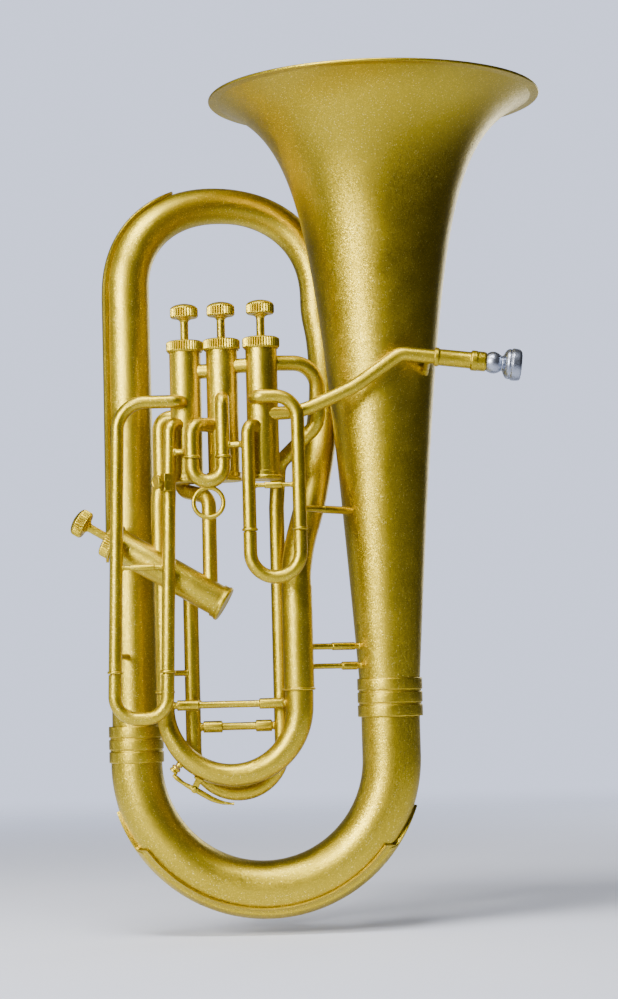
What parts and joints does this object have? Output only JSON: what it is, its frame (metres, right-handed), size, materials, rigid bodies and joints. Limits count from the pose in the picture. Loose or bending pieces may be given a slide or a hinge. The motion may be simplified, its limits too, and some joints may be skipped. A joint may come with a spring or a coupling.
{
  "type": "euphonium (tenor tuba)",
  "caption": "Upright brass euphonium with piston valves, a side-set compensating valve, pull-out tuning slides, a flared upward bell and a removable mouthpiece.",
  "frame": {"origin": "lowest point of the guard under the bottom bow, on the plane of the bell and bow", "axes": "+Z from the bottom bow to the bell rim, +X from the outer branch to the bell, -Y the player's valve side"},
  "size_m": [0.3833, 0.268, 0.658],
  "materials": {
    "gold_brass": "satin gold lacquer with a fine metallic flake",
    "silver_plate": "satin silver plate",
    "piston_steel": "lapped nickel alloy",
    "spring_steel": "drawn wire"
  },
  "bodies": {
    "body": {"bell": "gold_brass", "bell_ferrule": "gold_brass", "bottom_bow": "gold_brass", "bow_guard": "gold_brass", "branch_ferrule": "gold_brass", "outer_branch": "gold_brass", "top_bow": "gold_brass", "branch_guard": "gold_brass", "inner_branch": "gold_brass", "valve1_casing": "gold_brass", "valve1_bottom_cap": "gold_brass", "valve1_top_cap": "gold_brass", "valve1_spring": "spring_steel", "valve2_casing": "gold_brass", "valve2_bottom_cap": "gold_brass", "valve2_top_cap": "gold_brass", "valve2_spring": "spring_steel", "valve3_casing": "gold_brass", "valve3_bottom_cap": "gold_brass", "valve3_top_cap": "gold_brass", "valve3_spring": "spring_steel", "valve4_casing": "gold_brass", "valve4_bottom_cap": "gold_brass", "valve4_top_cap": "gold_brass", "valve4_spring": "spring_steel", "slide1_sleeve_left": "gold_brass", "slide1_sleeve_right": "gold_brass", "slide2_sleeve_left": "gold_brass", "slide2_sleeve_right": "gold_brass", "slide3_sleeve_left": "gold_brass", "slide3_sleeve_right": "gold_brass", "slide4_sleeve_left": "gold_brass", "slide4_sleeve_right": "gold_brass", "main_sleeve_left": "gold_brass", "main_sleeve_right": "gold_brass", "valve1_valve2_tube": "gold_brass", "valve2_valve3_tube": "gold_brass", "valve1_valve4_tube": "gold_brass", "valve1_valve4_return": "gold_brass", "leadpipe": "gold_brass", "mouthpiece_receiver": "gold_brass", "lyre_holder": "gold_brass"},
    "piston1": {"valve1_piston": "piston_steel", "valve1_button": "gold_brass"},
    "piston2": {"valve2_piston": "piston_steel", "valve2_button": "gold_brass"},
    "piston3": {"valve3_piston": "piston_steel", "valve3_button": "gold_brass"},
    "piston4": {"valve4_piston": "piston_steel", "valve4_button": "gold_brass"},
    "slide1": {"slide1_crook": "gold_brass"},
    "slide2": {"slide2_crook": "gold_brass"},
    "slide3": {"slide3_crook": "gold_brass"},
    "slide4": {"slide4_crook": "gold_brass"},
    "main_slide": {"main_crook": "gold_brass", "water_key_saddle": "gold_brass"},
    "water_key": {"water_key_lever": "gold_brass"},
    "mouthpiece_body": {"mouthpiece": "silver_plate"},
    "lyre_clamp_screw": {"lyre_screw": "spring_steel"}
  },
  "joints": [
    {"name": "valve1_press", "type": "slide", "parent": "body", "child": "piston1", "axis": [0, 0, -1], "range_m": [0, 0.015], "stiffness_N_per_m": 150, "springref_m": -0.015, "deforming": ["valve1_spring"]},
    {"name": "valve2_press", "type": "slide", "parent": "body", "child": "piston2", "axis": [0, 0, -1], "range_m": [0, 0.015], "stiffness_N_per_m": 150, "springref_m": -0.015, "deforming": ["valve2_spring"]},
    {"name": "valve3_press", "type": "slide", "parent": "body", "child": "piston3", "axis": [0, 0, -1], "range_m": [0, 0.015], "stiffness_N_per_m": 150, "springref_m": -0.015, "deforming": ["valve3_spring"]},
    {"name": "valve4_press", "type": "slide", "parent": "body", "child": "piston4", "axis": [0.856, -0.0523, -0.5143], "range_m": [0, 0.015], "stiffness_N_per_m": 150, "springref_m": -0.015, "deforming": ["valve4_spring"]},
    {"name": "slide1_pull", "type": "slide", "parent": "body", "child": "slide1", "axis": [-0.0297, 0, -0.9996], "range_m": [0, 0.06]},
    {"name": "slide2_pull", "type": "slide", "parent": "body", "child": "slide2", "axis": [0, 0, -1], "range_m": [0, 0.012]},
    {"name": "slide3_pull", "type": "slide", "parent": "body", "child": "slide3", "axis": [0, 0, -1], "range_m": [0, 0.05]},
    {"name": "slide4_pull", "type": "slide", "parent": "body", "child": "slide4", "axis": [0, 0, -1], "range_m": [0, 0.036]},
    {"name": "main_slide_pull", "type": "slide", "parent": "body", "child": "main_slide", "axis": [0, 0, -1], "range_m": [0, 0.05]},
    {"name": "water_key_press", "type": "hinge", "parent": "main_slide", "child": "water_key", "pos_m": [-0.05426, -0.032, 0.10478], "axis": [0, -1, 0], "range_deg": [0, 12], "stiffness_Nm_per_rad": 0.02, "springref_deg": -8.59},
    {"name": "mouthpiece_pull", "type": "slide", "parent": "body", "child": "mouthpiece_body", "axis": [0.9921, 0, -0.1253], "range_m": [0, 0.03]},
    {"name": "lyre_screw_turn", "type": "hinge", "parent": "body", "child": "lyre_clamp_screw", "pos_m": [-0.0694, -0.0663, 0.3438], "axis": [0.8192, 0.5736, 0], "continuous": true}
  ]
}
